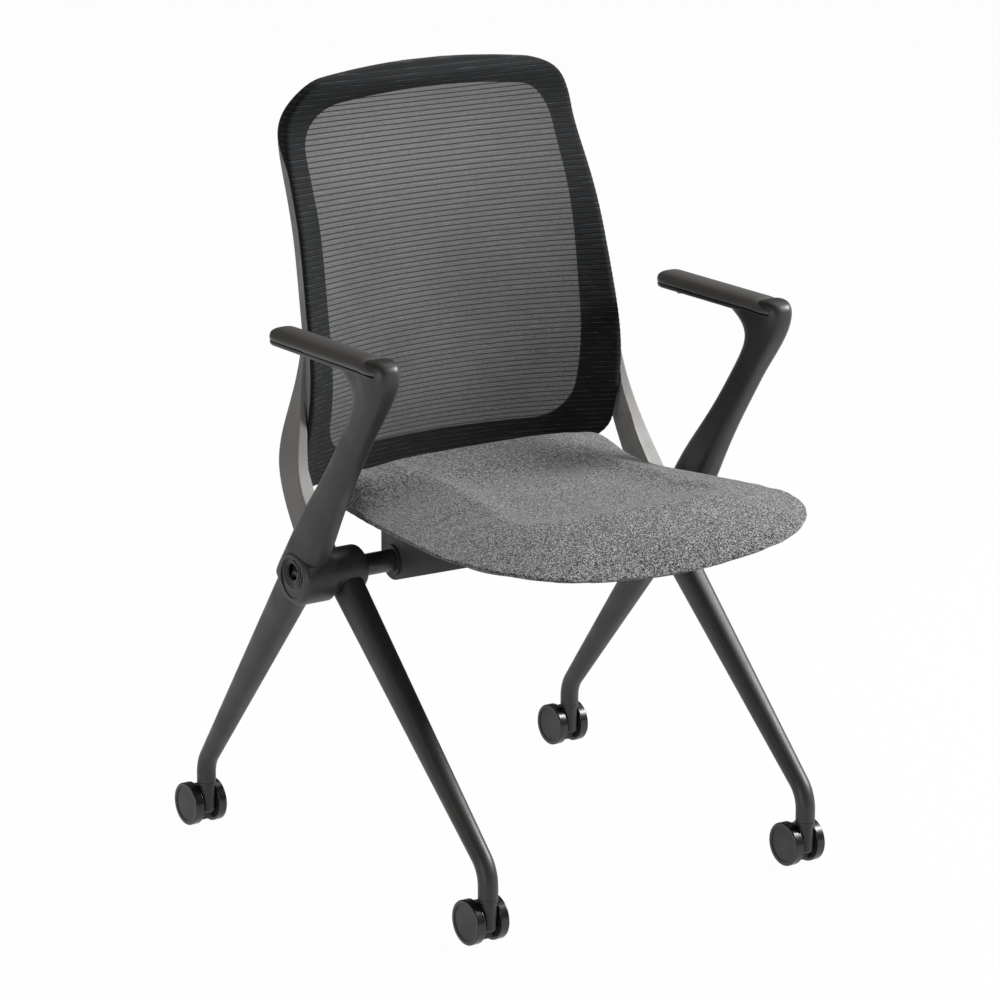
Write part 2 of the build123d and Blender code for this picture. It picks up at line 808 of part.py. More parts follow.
def pivot_bracket():
    """A bracket on the board that turns about the tube, with the cheek that stops the seat."""
    x_from = bracket_x - bracket_thickness / 2
    x_to = bracket_x + bracket_thickness / 2
    cheek_from = x_from - cheek_thickness
    web = make_face(
        Polyline(
            (hub_y + bracket_radius * 0.9, hub_z),
            (hub_y + bracket_radius * 0.9, board_z),
            (hub_y - bracket_reach, board_z),
            (hub_y - bracket_reach, board_z - 2 * bracket_foot_thickness),
            (hub_y - bracket_radius * 0.3, hub_z - bracket_radius * 0.9),
            close=True,
        )
    )
    body = extrude(Plane.YZ.offset(bracket_x) * web, amount=bracket_thickness / 2, both=True)
    foot_z = board_z - bracket_foot_thickness / 2
    foot_rear = hub_y + bracket_radius * 0.9
    foot_middle = (foot_rear + hub_y - bracket_reach) / 2
    foot_length = foot_rear - hub_y + bracket_reach
    foot = Box(bracket_foot_width, foot_length, bracket_foot_thickness)
    body += Pos(bracket_x, foot_middle, foot_z) * foot
    body += rod(bracket_radius, cheek_from, x_to, hub_y, hub_z)
    body -= rod(bush_outer_radius, x_from, x_to, hub_y, hub_z)
    body -= rod(tube_radius + lug_slack, cheek_from, x_from, hub_y, hub_z)
    body -= ring_sector(
        tube_radius,
        tube_radius + lug_height + lug_slack,
        cheek_from,
        x_from,
        180 - lug_angle / 2 - lug_slack,
        180 + lug_angle / 2 + seat_flip + lug_slack,
    )
    return biggest(body - seat_screws())


def stop_lug():
    """The lug on the tube that the cheek's notch turns against."""
    x_to = bracket_x - bracket_thickness / 2 - cheek_gap
    x_from = x_to - cheek_thickness + 2 * cheek_gap
    start = 180 - lug_angle / 2
    stop = 180 + lug_angle / 2
    return ring_sector(tube_radius, tube_radius + lug_height, x_from, x_to, start, stop)


def pivot_bush():
    """The plain bush between the tube and the bracket, with its flange outside the housing."""
    inner = bracket_x - bracket_thickness / 2
    bush = rod(bush_outer_radius, inner, housing_half_width, hub_y, hub_z)
    flange_end = housing_half_width + bush_flange
    bush += rod(bush_flange_radius, housing_half_width, flange_end, hub_y, hub_z)
    return bush - rod(tube_radius + running_clearance, inner, flange_end, hub_y, hub_z)


# ---------------------------------------------------------------- casters
def caster_socket(x, y):
    """The steel socket in a leg's foot that takes the caster's stem."""
    return socket_bore(x, y) - post(stem_radius, leg_foot_z, leg_foot_z + socket_depth, x, y)


def caster_stem(x, y):
    return post(stem_radius, leg_foot_z - stem_below_foot, leg_foot_z + stem_above_foot, x, y)


def caster_body(x, y):
    """The post and collar that turn on the stem, and the drum between the wheels."""
    half_width = wheel_inner_x - wheel_side_gap
    collar_top = leg_foot_z - collar_gap
    upright = post(half_width, post_bottom_z, collar_top, x, y)
    upright = fillet(upright.edges().sort_by(Axis.Z)[0], post_bottom_round)
    upright += post(foot_radius, collar_top - collar_height, collar_top, x, y)
    drum = rod(hood_radius, x - half_width, x + half_width, y + caster_trail, wheel_radius)
    body = upright + (drum - Pos(x, y + caster_trail - hood_radius, 0) * hood_cut())
    running = stem_radius + running_clearance
    body -= post(running, leg_foot_z - stem_below_foot - stem_end_gap, collar_top, x, y)
    return biggest(body - caster_axle(x, y))


def hood_cut():
    """A block that squares off the drum's front, where the post stands."""
    return Box(4 * hood_radius, hood_radius, 4 * hood_radius)


def caster_axle(x, y):
    half_length = caster_width / 2 - axle_end_cover
    return rod(axle_radius, x - half_length, x + half_length, y + caster_trail, wheel_radius)


def wheel_core(x, y, side):
    """A wheel's body, with the blind bore that runs on the axle."""
    core_radius = wheel_radius - tread_thickness
    inner = x + side * wheel_inner_x
    outer = x + side * caster_width / 2
    bore_end = outer - side * (axle_end_cover - stem_end_gap)
    face = outer - side * wheel_face_recess
    axle_y = y + caster_trail
    body = rod(core_radius, *sorted((inner, outer)), axle_y, wheel_radius)
    body -= rod(core_radius - wheel_face_rim, *sorted((face, outer)), axle_y, wheel_radius)
    bore = axle_radius + running_clearance
    return body - rod(bore, *sorted((inner, bore_end)), axle_y, wheel_radius)


def wheel_tread(x, y, side):
    """The soft ring on a wheel's rim."""
    ends = sorted((x + side * wheel_inner_x, x + side * caster_width / 2))
    ring = rod(wheel_radius, *ends, y + caster_trail, wheel_radius)
    ring = fillet(ring.edges().filter_by(GeomType.CIRCLE), tread_edge_round)
    return ring - rod(wheel_radius - tread_thickness, *ends, y + caster_trail, wheel_radius)


# ---------------------------------------------------------------- files
os.makedirs("parts", exist_ok=True)

save_pair("arm_frame", arm_frame())
save_pair("arm_pad", arm_pad())
save_pair("rear_leg", rear_leg())
save_pair("front_leg", front_leg())
save("cross_tube", cross_tube())
save("tube_end_plugs", both_sides(end_plug()))
save("hub_bolts", both_sides(hub_bolt()))
save("hub_caps", both_sides(hub_cap()))
save("stop_lugs", both_sides(stop_lug()))
save("arm_pad_screws", both_sides(pad_screws(0)))

save("back_frame", back_frame())
save("mesh_carrier", mesh_carrier())
save("back_mesh", back_mesh())
save("carrier_screws", carrier_screws())
save("back_bolts", both_sides(saddle_bolts(0)))

save("seat_cushion", seat_cushion())
save("seat_board", seat_board())
save("seat_pan", seat_pan())
save_pair("pivot_bracket", pivot_bracket())
save("pivot_bushes", both_sides(pivot_bush()))
save("seat_screws", seat_screws())
save("pan_screws", pan_screws())

sockets = []
for end, (stem_x, stem_y) in stems.items():
    sockets.append(caster_socket(stem_x, stem_y))
    for side_name, side in (("left", 1), ("right", -1)):
        corner = f"{end}_{side_name}"
        x = side * stem_x
        save(f"caster_stem_{corner}", caster_stem(x, stem_y))
        save(f"caster_body_{corner}", caster_body(x, stem_y))
        save(f"caster_axle_{corner}", caster_axle(x, stem_y))
        for wheel, wheel_side in (("outer", side), ("inner", -side)):
            save(f"wheel_{corner}_{wheel}", wheel_core(x, stem_y, wheel_side))
            save(f"tread_{corner}_{wheel}", wheel_tread(x, stem_y, wheel_side))
save("caster_sockets", both_sides(Compound(children=sockets)))
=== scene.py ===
import json
import math

import bmesh
import bpy
import numpy as np
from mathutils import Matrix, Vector
from mathutils.bvhtree import BVHTree
from mathutils.geometry import convex_hull_2d


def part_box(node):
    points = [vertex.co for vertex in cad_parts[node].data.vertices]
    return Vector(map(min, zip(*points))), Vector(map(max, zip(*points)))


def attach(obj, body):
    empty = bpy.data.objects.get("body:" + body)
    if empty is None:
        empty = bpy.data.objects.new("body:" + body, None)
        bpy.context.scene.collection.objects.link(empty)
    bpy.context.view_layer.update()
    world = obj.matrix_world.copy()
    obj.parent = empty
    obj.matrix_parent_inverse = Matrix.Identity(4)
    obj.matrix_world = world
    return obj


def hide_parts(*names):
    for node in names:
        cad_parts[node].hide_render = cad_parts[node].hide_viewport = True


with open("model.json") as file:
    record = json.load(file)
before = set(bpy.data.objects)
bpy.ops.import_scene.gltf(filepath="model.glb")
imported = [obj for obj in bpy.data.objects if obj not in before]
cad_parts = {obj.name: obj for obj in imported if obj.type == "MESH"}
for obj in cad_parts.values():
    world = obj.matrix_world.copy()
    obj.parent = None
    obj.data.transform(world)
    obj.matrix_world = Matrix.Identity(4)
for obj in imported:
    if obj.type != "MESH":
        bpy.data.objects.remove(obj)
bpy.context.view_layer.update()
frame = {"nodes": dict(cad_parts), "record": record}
nodes = frame["nodes"]
scene = bpy.context.scene


# ---------------------------------------------------------------- material helpers
WORN_FROM = 0.52  # pointiness where an edge starts to look rubbed, and where it is fully so
WORN_TO = 0.60


class Look:
    """A material under construction: short calls that add and join its shader nodes."""

    def __init__(self, name):
        self.material = bpy.data.materials.new(name)
        self.material.use_nodes = True
        self.tree = self.material.node_tree
        self.bsdf = self.tree.nodes["Principled BSDF"]
        self.output = self.tree.nodes["Material Output"]
        self.place = self.add("ShaderNodeTexCoord").outputs["Object"]

    def add(self, kind, **settings):
        node = self.tree.nodes.new(kind)
        for key, value in settings.items():
            setattr(node, key, value)
        return node

    def join(self, source, target):
        self.tree.links.new(source, target)

    def feed(self, socket, value):
        if isinstance(value, bpy.types.NodeSocket):
            self.join(value, socket)
        else:
            socket.default_value = value

    def maths(self, operation, first, second=0.0, clamp=False):
        node = self.add("ShaderNodeMath", operation=operation, use_clamp=clamp)
        self.feed(node.inputs[0], first)
        self.feed(node.inputs[1], second)
        return node.outputs[0]

    def times(self, first, second):
        return self.maths("MULTIPLY", first, second)

    def plus(self, first, second):
        return self.maths("ADD", first, second)

    def scaled(self, x, y, z):
        node = self.add("ShaderNodeVectorMath", operation="MULTIPLY")
        self.join(self.place, node.inputs[0])
        node.inputs[1].default_value = (x, y, z)
        return node.outputs[0]

    def noise(self, scale, detail=2.0, roughness=0.5, place=None, distortion=0.0):
        node = self.add("ShaderNodeTexNoise")
        self.join(place or self.place, node.inputs["Vector"])
        node.inputs["Scale"].default_value = scale
        node.inputs["Detail"].default_value = detail
        node.inputs["Roughness"].default_value = roughness
        node.inputs["Distortion"].default_value = distortion
        return node.outputs["Fac"]

    def voronoi(self, scale, output="Distance"):
        node = self.add("ShaderNodeTexVoronoi")
        self.join(self.place, node.inputs["Vector"])
        node.inputs["Scale"].default_value = scale
        return node.outputs[output]

    def ranged(self, value, low, high, to_low, to_high):
        node = self.add("ShaderNodeMapRange")
        self.join(value, node.inputs["Value"])
        node.inputs["From Min"].default_value = low
        node.inputs["From Max"].default_value = high
        node.inputs["To Min"].default_value = to_low
        node.inputs["To Max"].default_value = to_high
        return node.outputs[0]

    def ramp(self, value, *stops):
        node = self.add("ShaderNodeValToRGB")
        self.join(value, node.inputs["Fac"])
        band = node.color_ramp
        while len(band.elements) < len(stops):
            band.elements.new(0.5)
        for element, (position, colour) in zip(band.elements, stops):
            element.position = position
            element.color = (*colour, 1.0)
        return node.outputs["Color"]

    def mixed(self, factor, first, second, kind="MIX"):
        node = self.add("ShaderNodeMix", data_type="RGBA", blend_type=kind)
        self.feed(node.inputs["Factor"], factor)
        for index, value in ((6, first), (7, second)):
            is_socket = isinstance(value, bpy.types.NodeSocket)
            self.feed(node.inputs[index], value if is_socket else (*value, 1.0))
        return node.outputs[2]

    def worn(self, colour, light, amount=0.5):
        """Convex edges rubbed towards a lighter colour, broken up by noise."""
        pointiness = self.add("ShaderNodeNewGeometry").outputs["Pointiness"]
        edge = self.ranged(pointiness, WORN_FROM, WORN_TO, 0.0, 1.0)
        broken = self.ranged(self.noise(55.0, 3.0), 0.35, 0.65, 0.0, amount)
        return self.mixed(self.times(edge, broken), colour, light)

    def bump(self, height, strength, distance):
        node = self.add("ShaderNodeBump")
        self.join(height, node.inputs["Height"])
        node.inputs["Strength"].default_value = strength
        node.inputs["Distance"].default_value = distance
        self.join(node.outputs["Normal"], self.bsdf.inputs["Normal"])

    def finish(self, colour, roughness, **constants):
        self.feed(self.bsdf.inputs["Base Color"], colour)
        self.feed(self.bsdf.inputs["Roughness"], roughness)
        for name, value in constants.items():
            self.bsdf.inputs[name.replace("_", " ")].default_value = value
        return self.material

    def shown_through(self, cover, first, second):
        """The surface is a mix of two shaders, by how much the second covers."""
        mix = self.add("ShaderNodeMixShader")
        self.join(cover, mix.inputs[0])
        self.join(first, mix.inputs[1])
        self.join(second, mix.inputs[2])
        self.join(mix.outputs[0], self.output.inputs["Surface"])


def shade(colour, times):
    """A colour made lighter or darker by a factor."""
    return [min(1.0, channel * times) for channel in colour]


def tinted(look, colour, spread, scale):
    """A colour that drifts a little over the surface."""
    dark = shade(colour, 1 - spread)
    light = shade(colour, 1 + spread)
    return look.ramp(look.noise(scale, 3.0), (0.3, dark), (0.7, light))


# ---------------------------------------------------------------- hard materials
COAT_SPECK = 1.6  # how much lighter the specks in the coat are
PLASTIC_RUBBED = 1.6  # how much lighter rubbed edges are
METAL_RUBBED = 1.8
SKIN_BUMP = 0.00012  # depth of the coat's and the plastics' fine grain, metres
TURNING_BUMP = 0.00006


def powder_coat(name, colour, rubbed, roughness):
    look = Look(name)
    grain = look.noise(1500.0, 2.0, 0.6)
    orange_peel = look.noise(260.0, 1.0)
    base = look.worn(tinted(look, colour, 0.10, 9.0), rubbed)
    speck = look.ranged(grain, 0.3, 0.7, 0.0, 0.18)
    speckled = look.mixed(speck, base, shade(colour, COAT_SPECK))
    look.bump(look.plus(grain, look.times(orange_peel, 1.4)), 0.22, SKIN_BUMP)
    rough = look.ranged(look.noise(32.0, 4.0), 0.3, 0.7, roughness - 0.05, roughness + 0.06)
    return look.finish(speckled, rough, Metallic=0.0, Specular_IOR_Level=0.5)


def moulded(name, colour, roughness, grain_scale=900.0, bump=0.25):
    look = Look(name)
    cells = look.voronoi(grain_scale)
    fine = look.noise(grain_scale * 1.7, 2.0)
    base = look.worn(tinted(look, colour, 0.09, 12.0), shade(colour, PLASTIC_RUBBED), 0.6)
    look.bump(look.plus(cells, fine), bump, SKIN_BUMP)
    rough = look.ranged(look.noise(40.0, 3.0), 0.3, 0.7, roughness - 0.05, roughness + 0.07)
    return look.finish(base, rough)


def metal(name, colour, roughness, metallic=1.0):
    look = Look(name)
    turned = look.noise(700.0, 3.0, 0.6, look.scaled(0.08, 1.0, 1.0))
    base = look.worn(tinted(look, colour, 0.08, 60.0), shade(colour, METAL_RUBBED))
    look.bump(turned, 0.10, TURNING_BUMP)
    rough = look.ranged(turned, 0.3, 0.7, roughness - 0.06, roughness + 0.08)
    return look.finish(base, rough, Metallic=metallic)


def plywood():
    look = Look("raw_plywood")
    rings = look.noise(14.0, 4.0, 0.6, look.scaled(1.0, 0.15, 8.0), 1.2)
    colour = look.ramp(rings, (0.3, (0.36, 0.25, 0.15)), (0.7, (0.55, 0.42, 0.27)))
    look.bump(rings, 0.2, 0.0003)
    return look.finish(colour, 0.75)


# ---------------------------------------------------------------- fabrics
YARN_SCALE = 980.0
FLECK_SCALE = 1500.0
YARN_TONES = (
    (0.34, (0.014, 0.0145, 0.015)),
    (0.54, (0.074, 0.075, 0.076)),
    (0.68, (0.190, 0.191, 0.192)),
    (0.86, (0.50, 0.50, 0.50)),
)
CREPE_BUMP = 0.0006


def heather():
    """Salt-and-pepper upholstery: light and dark yarns in a fine crepe weave."""
    look = Look("heather_wool")
    tone = look.add("ShaderNodeSeparateColor")
    look.join(look.voronoi(YARN_SCALE, "Color"), tone.inputs[0])
    fleck = look.noise(FLECK_SCALE, 3.0, 0.7)
    blend = look.plus(look.times(tone.outputs[0], 0.62), look.times(fleck, 0.58))
    drift = look.ranged(look.noise(7.0, 2.0), 0.35, 0.65, 0.0, 0.30)
    cloudy = look.mixed(drift, look.ramp(blend, *YARN_TONES), (0.84, 0.84, 0.84), "MULTIPLY")
    crowns = look.voronoi(YARN_SCALE)
    look.bump(look.maths("SUBTRACT", look.times(fleck, 0.8), crowns), 0.60, CREPE_BUMP)
    return look.finish(
        cloudy,
        0.95,
        Sheen_Weight=0.22,
        Sheen_Roughness=0.5,
        Sheen_Tint=(0.9, 0.9, 0.9, 1.0),
        Specular_IOR_Level=0.2,
    )


RIB_PITCH = 0.0065
NET_PITCH = 0.0016
NETS_PER_RIB = 4
LINE_SHIFT = 2.4  # the pale thread runs this far round a rib's turn, in radians
DARK_YARN = (0.004, 0.0055, 0.0070)
LIT_YARN = (0.013, 0.0155, 0.0180)
PALE_THREAD = (0.095, 0.106, 0.115)
RIB_YARN = (0.006, 0.0065, 0.007)
NET_COVER = (0.74, 0.92)  # share of light that the net stops, in its holes and on its threads
RIB_COVER = 0.972
KNIT_BUMP = 0.0004


def knitted_yarn(look, turn, rib, fuzz):
    """The mesh's colour: mottled yarn, a broken pale thread beside each rib, and the dark rib."""
    mottle = look.ranged(fuzz, 0.3, 0.7, 0.0, 1.0)
    line = look.ranged(look.maths("COSINE", look.plus(turn, LINE_SHIFT)), 0.80, 1.0, 0.0, 0.8)
    streak = look.noise(110.0, 3.0, 0.6, look.scaled(0.22, 1.0, 12.0))
    line = look.times(line, look.ranged(streak, 0.46, 0.60, 0.0, 1.0))
    yarn = look.mixed(line, look.mixed(mottle, DARK_YARN, LIT_YARN), PALE_THREAD)
    return look.mixed(rib, yarn, RIB_YARN)


def stretched_mesh():
    """Knitted mesh: dark cross ribs, and between them an open net that lets light through."""
    look = Look("knit_mesh")
    split = look.add("ShaderNodeSeparateXYZ")
    look.join(look.place, split.inputs[0])
    height = look.plus(split.outputs["Z"], look.times(look.noise(60.0, 2.0), 0.0005))
    turn = look.times(height, 2 * math.pi / RIB_PITCH)
    rib = look.ranged(look.maths("COSINE", turn), 0.40, 0.78, 0.0, 1.0)
    across = look.maths("SINE", look.times(split.outputs["X"], 2 * math.pi / NET_PITCH))
    up = look.maths("SINE", look.times(height, 2 * math.pi * NETS_PER_RIB / RIB_PITCH))
    thread = look.ranged(look.times(across, up), -0.8, 0.8, 0.0, 1.0)
    fuzz = look.noise(900.0, 2.0)
    cover = look.ranged(thread, 0.0, 1.0, *NET_COVER)
    cover = look.plus(cover, look.times(look.maths("SUBTRACT", fuzz, 0.5), 0.30))
    lower = look.ranged(split.outputs["Z"], 0.50, 0.85, 0.075, 0.0)
    outer = look.ranged(split.outputs["X"], -0.05, 0.20, 0.0, 0.045)
    cloud = look.ranged(look.noise(7.0, 1.0), 0.3, 0.7, -0.01, 0.015)
    for denser in (lower, outer, cloud):
        cover = look.plus(cover, denser)
    cover = look.maths("MAXIMUM", cover, look.times(rib, RIB_COVER), clamp=True)
    look.bump(look.plus(look.times(thread, 0.35), fuzz), 0.35, KNIT_BUMP)
    yarn = knitted_yarn(look, turn, rib, fuzz)
    look.finish(yarn, 0.80, Sheen_Weight=0.05, Specular_IOR_Level=0.25)
    clear = look.add("ShaderNodeBsdfTransparent")
    look.shown_through(cover, clear.outputs[0], look.bsdf.outputs[0])
    return look.material


# ---------------------------------------------------------------- every CAD node's material
CASTING = (0.030, 0.028, 0.026)
CASTING_RUBBED = (0.075, 0.071, 0.067)
# the arm pads have the castings' own colour; this pad colour, about three times lighter, is
# painted top light
PAD_PAINTED_TOP_LIGHT = (0.100, 0.095, 0.090)
TUBE = (0.020, 0.0195, 0.019)
TUBE_RUBBED = (0.07, 0.07, 0.07)
SHELL = (0.250, 0.240, 0.229)
CARRIER = (0.005, 0.007, 0.009)
PAN = (0.046, 0.0445, 0.0425)
CAP = (0.016, 0.016, 0.016)
OXIDE = (0.05, 0.05, 0.05)
BRACKET = (0.045, 0.045, 0.045)
BLACK_PLASTIC = (0.02, 0.02, 0.02)
BRIGHT_STEEL = (0.55, 0.55, 0.56)
CASTER = (0.018, 0.018, 0.019)
WHEEL = (0.022, 0.022, 0.022)
TREAD = (0.013, 0.013, 0.014)

MATERIALS = {
    "frame_paint": powder_coat("frame_powder_coat", CASTING, CASTING_RUBBED, 0.46),
    # pad skin whose colour carries painted top light
    "pad_plastic": moulded("pad_skin_painted_top_light", PAD_PAINTED_TOP_LIGHT, 0.46, 1300.0, 0.18),
    "tube_steel": powder_coat("tube_coat", TUBE, TUBE_RUBBED, 0.38),
    "plug_plastic": moulded("cap_plastic", CAP, 0.40),
    "bolt_steel": metal("black_oxide", OXIDE, 0.42),
    "black_steel": metal("black_bracket", BRACKET, 0.5, 0.6),
    "bush_plastic": moulded("bush_plastic", BLACK_PLASTIC, 0.5),
    "back_plastic": moulded("shell_plastic", SHELL, 0.52, 1000.0, 0.30),
    "carrier_plastic": moulded("carrier_plastic", CARRIER, 0.6),
    "seat_plywood": plywood(),
    "pan_plastic": moulded("pan_plastic", PAN, 0.55, 800.0, 0.35),
    "socket_plastic": moulded("socket_plastic", BLACK_PLASTIC, 0.5),
    "stem_steel": metal("bright_steel", BRIGHT_STEEL, 0.25),
    "caster_plastic": moulded("caster_body", CASTER, 0.42),
    "wheel_plastic": moulded("wheel_face", WHEEL, 0.48, 700.0),
    "tread_plastic": moulded("tread_skin", TREAD, 0.22, 1500.0, 0.08),
}
slot_of = {row["node"]: row["material_slot"] for row in frame["record"]["subparts"]}


def dress(obj, material):
    obj.data.materials.clear()
    obj.data.materials.append(material)


for name, node in nodes.items():
    if slot_of[name] in MATERIALS:
        dress(node, MATERIALS[slot_of[name]])


# ---------------------------------------------------------------- mesh helpers
def copy_of(name, source):
    """A new object with a welded copy of a node's mesh."""
    mesh = source.data.copy()
    mesh.name = name
    piece = bpy.data.objects.new(name, mesh)
    scene.collection.objects.link(piece)
    work = bmesh.new()
    work.from_mesh(mesh)
    bmesh.ops.remove_doubles(work, verts=work.verts, dist=1e-5)
    work.to_mesh(mesh)
    work.free()
    for attribute in [a.name for a in mesh.attributes if a.name.startswith("custom_normal")]:
        mesh.attributes.remove(mesh.attributes[attribute])
    return piece


def apply_modifiers(piece):
    graph = bpy.context.evaluated_depsgraph_get()
    made = bpy.data.meshes.new_from_object(piece.evaluated_get(graph))
    piece.modifiers.clear()
    piece.data = made


def remeshed(piece, voxel):
    modifier = piece.modifiers.new("remesh", "REMESH")
    modifier.mode = "VOXEL"
    modifier.voxel_size = voxel
    apply_modifiers(piece)


def relaxed(piece, rounds):
    modifier = piece.modifiers.new("smooth", "SMOOTH")
    modifier.factor = 0.5
    modifier.iterations = rounds
    apply_modifiers(piece)


def subdivided(piece):
    modifier = piece.modifiers.new("subdivision", "SUBSURF")
    modifier.levels = 1
    modifier.render_levels = 1
    apply_modifiers(piece)


def coordinates(mesh):
    flat = np.zeros(len(mesh.vertices) * 3)
    mesh.vertices.foreach_get("co", flat)
    return flat.reshape(-1, 3)


def set_coordinates(mesh, points):
    mesh.vertices.foreach_set("co", points.ravel())
    mesh.update()


def soft_shading(piece):
    piece.data.polygons.foreach_set("use_smooth", [True] * len(piece.data.polygons))


def search_tree(node):
    return BVHTree.FromObject(node, bpy.context.evaluated_depsgraph_get())


def eased(share):
    """A share from 0 to 1 that starts and ends softly."""
    share = min(1.0, max(0.0, share))
    return share * share * (3 - 2 * share)


# ---------------------------------------------------------------- seat cushion
CUSHION_VOXEL = 0.0055
CUSHION_DRAWN_IN = 0.003  # the top is drawn in this far before the cloth swells it
CUSHION_SWELL = 0.006
CUSHION_FRAMES = 16
UNDERSIDE_TILT = -0.35
UNDERSIDE_RISE = 0.004

EDGE_ROLL = 0.085  # how far in from the rim the top rolls off
EDGE_THICKNESS = 0.010
ROLL_POWER = 2.2
TOP_RAISE = 0.0080
SLOPE_RUN = 0.120
SLOPE_DROP = 0.017
DISH_DEPTH = 0.014
DISH_START = 0.080
DISH_RUN = 0.075
REAR_FROM_Y = 0.0  # behind here the roll gets tighter and the edge thicker, towards the back
REAR_RUN = 0.11
REAR_RAISE = 0.005
REAR_TIGHTER = 0.75
REAR_THICKER = 0.012
PROBE_INWARD = 0.0015  # rays are cast this far inside a point, so that they hit at the rim too
NEAR_CENTRE = 0.05
LEAST_DEPTH = 0.004


def rim_distance(points, outline):
    """How far inside a convex outline each point lies, seen from above."""
    centre = outline.mean(axis=0)
    nearest = np.full(len(points), np.inf)
    for start, end in zip(outline, np.roll(outline, -1, axis=0)):
        along = (end - start) / np.linalg.norm(end - start)
        inward = np.array((-along[1], along[0]))
        if (centre - start) @ inward < 0:
            inward = -inward
        nearest = np.minimum(nearest, (points[:, :2] - start) @ inward)
    return np.maximum(nearest, 0.0)


def convex_outline(node):
    """The convex outline of a node seen from above, without repeated points."""
    flat = np.unique(np.round(coordinates(node.data)[:, :2], 5), axis=0)
    ring = [flat[i] for i in convex_hull_2d([Vector(point) for point in flat])]
    pairs = zip(ring, ring[1:] + ring[:1])
    return np.array([point for point, after in pairs if np.linalg.norm(after - point) > 1e-4])


def seat_top(above, below, inside, y):
    """The height of the shaped top over one place of the CAD cushion."""
    to_rear = eased((y - REAR_FROM_Y) / REAR_RUN)
    share = min(1.0, inside / (EDGE_ROLL * (1 - REAR_TIGHTER * to_rear)))
    rise = math.sqrt(1 - (1 - share) ** ROLL_POWER)
    slope = SLOPE_DROP * (1 - eased(inside / SLOPE_RUN)) * (1 - to_rear)
    dish = DISH_DEPTH * eased((inside - DISH_START) / DISH_RUN)
    top = above + TOP_RAISE + REAR_RAISE * to_rear - slope - dish
    edge = min(EDGE_THICKNESS + REAR_THICKER * to_rear, above - below)
    return below + edge + (top - below - edge) * rise


def seat_shape(points, node):
    """Rolls the cushion's top off towards its rim and dishes its middle."""
    tree = search_tree(node)
    outline = convex_outline(node)
    centre = outline.mean(axis=0)
    inside = rim_distance(points, outline)
    shaped = points.copy()
    for index, (x, y, z) in enumerate(points):
        pull = min(1.0, PROBE_INWARD / max(NEAR_CENTRE, np.linalg.norm(centre - (x, y))))
        probe_x = x + (centre[0] - x) * pull
        probe_y = y + (centre[1] - y) * pull
        above = tree.ray_cast(Vector((probe_x, probe_y, 1.0)), Vector((0, 0, -1)))[0]
        below = tree.ray_cast(Vector((probe_x, probe_y, 0.0)), Vector((0, 0, 1)))[0]
        if above is None or below is None or z <= below.z or above.z - below.z < LEAST_DEPTH:
            continue
        stretch = (seat_top(above.z, below.z, inside[index], y) - below.z) / (above.z - below.z)
        shaped[index, 2] = below.z + (z - below.z) * stretch
    return shaped


def inflated(piece, held):
    """Swells the piece as padded cloth and caps how far each point has moved."""
    rest = coordinates(piece.data)
    group = piece.vertex_groups.new(name="held")
    group.add([int(i) for i in np.nonzero(held)[0]], 1.0, "REPLACE")
    cloth = piece.modifiers.new("cloth", "CLOTH")
    cloth.settings.quality = 5
    cloth.settings.mass = 0.3
    cloth.settings.use_pressure = True
    cloth.settings.uniform_pressure_force = 4.0
    cloth.settings.effector_weights.gravity = 0.0
    cloth.settings.vertex_group_mass = "held"
    cloth.settings.tension_stiffness = 12
    cloth.settings.compression_stiffness = 12
    cloth.settings.bending_stiffness = 0.6
    cloth.collision_settings.use_self_collision = False
    cloth.point_cache.frame_start = 1
    cloth.point_cache.frame_end = CUSHION_FRAMES
    for step in range(1, CUSHION_FRAMES + 1):
        scene.frame_set(step)
    apply_modifiers(piece)
    scene.frame_set(1)
    moved = coordinates(piece.data) - rest
    length = np.linalg.norm(moved, axis=1)
    limit = np.minimum(1.0, CUSHION_SWELL / np.maximum(length, 1e-9))
    set_coordinates(piece.data, rest + moved * limit[:, None])


def padded_cushion():
    """The seat's foam and cover: shaped from the CAD cushion, then swelled as cloth."""
    node = nodes["seat_cushion"]
    piece = copy_of("cushion", node)
    remeshed(piece, CUSHION_VOXEL)
    set_coordinates(piece.data, seat_shape(coordinates(piece.data), node))
    relaxed(piece, 5)
    low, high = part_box("seat_cushion")
    points = coordinates(piece.data)
    normals = np.array([v.normal for v in piece.data.vertices])
    underside = (normals[:, 2] < UNDERSIDE_TILT) | (points[:, 2] < low.z + UNDERSIDE_RISE)
    drawn = points - normals * np.where(underside, 0.0, CUSHION_DRAWN_IN)[:, None]
    set_coordinates(piece.data, drawn)
    inflated(piece, underside)
    relaxed(piece, 4)
    subdivided(piece)
    soft_shading(piece)
    return piece


cushion = padded_cushion()
dress(cushion, heather())
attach(cushion, "seat")
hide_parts("seat_cushion")


# ---------------------------------------------------------------- arm pads
PAD_VOXEL = 0.0016
PAD_DOME = 0.0065
PAD_DOME_POWER = 2.2
PAD_END_ROUND = 0.024
PAD_CROWN_FROM_Z = 0.672
PAD_CROWN_RUN = 0.014
PAD_ROUNDS = 50


def domed_pad(side):
    """An arm pad with a crowned top and a rounded rear end."""
    piece = copy_of(f"pad_{side}", nodes[f"arm_pad_{side}"])
    remeshed(piece, PAD_VOXEL)
    low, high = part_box(f"arm_pad_{side}")
    points = coordinates(piece.data)
    half_width = (high.x - low.x) / 2
    off_middle = np.abs(points[:, 0] - (low.x + high.x) / 2) / half_width
    to_rear = np.clip((points[:, 1] - high.y + PAD_END_ROUND) / PAD_END_ROUND, 0.0, 1.0)
    upper = np.clip((points[:, 2] - PAD_CROWN_FROM_Z) / PAD_CROWN_RUN, 0.0, 1.0)
    fall = np.maximum(off_middle**PAD_DOME_POWER, to_rear**PAD_DOME_POWER)
    points[:, 2] -= PAD_DOME * upper * fall
    set_coordinates(piece.data, points)
    relaxed(piece, PAD_ROUNDS)
    soft_shading(piece)
    return piece


